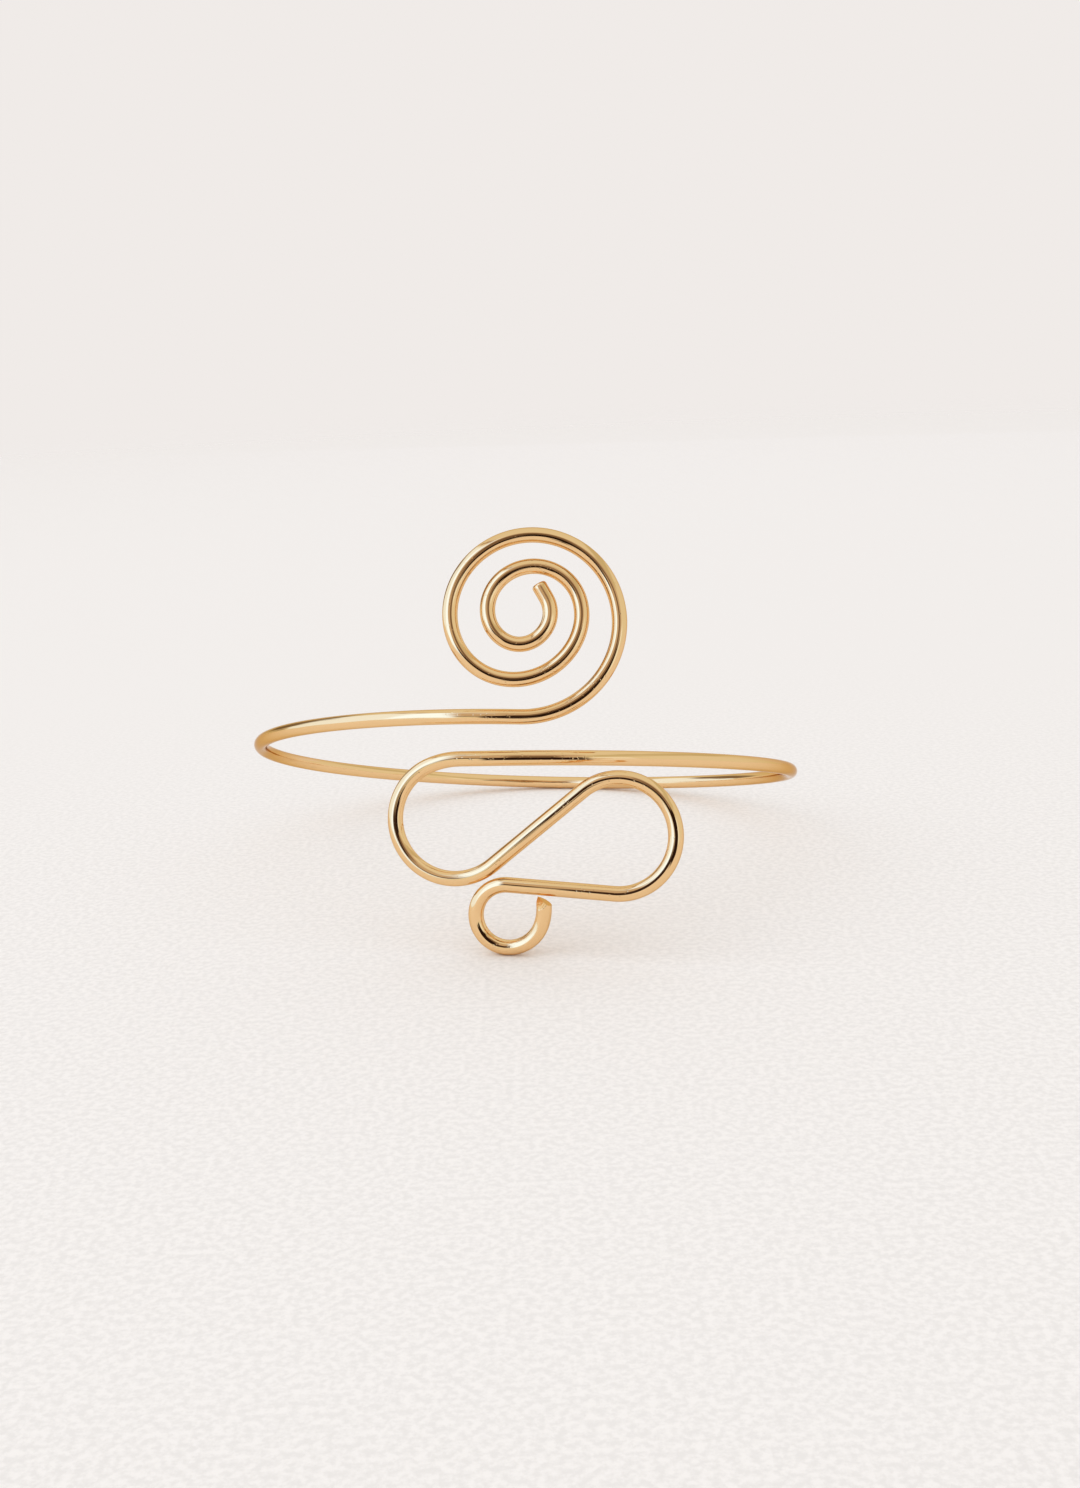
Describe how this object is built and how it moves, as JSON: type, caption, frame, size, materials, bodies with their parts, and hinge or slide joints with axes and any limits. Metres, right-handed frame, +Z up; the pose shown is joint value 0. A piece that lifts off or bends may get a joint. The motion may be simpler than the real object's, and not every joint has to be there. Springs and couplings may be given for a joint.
{
  "type": "wire upper arm cuff",
  "caption": "Open upper arm cuff of bent round gold-tone wire: a springy band with a flat spiral standing above it and a serpentine with a small end loop below it.",
  "frame": {"origin": "under the middle of the cuff's bounding box, on the surface it lies on by itself", "axes": "+Z up from the surface, +Y from the ornament through the arm opening to the back of the band, +X to the right as seen from the front"},
  "size_m": [0.0808, 0.086, 0.053],
  "materials": {
    "gold_wire": "polished round wire, warm gold, with fine marks of the bending tools"
  },
  "bodies": {
    "root": {"wire": "gold_wire"}
  },
  "joints": []
}
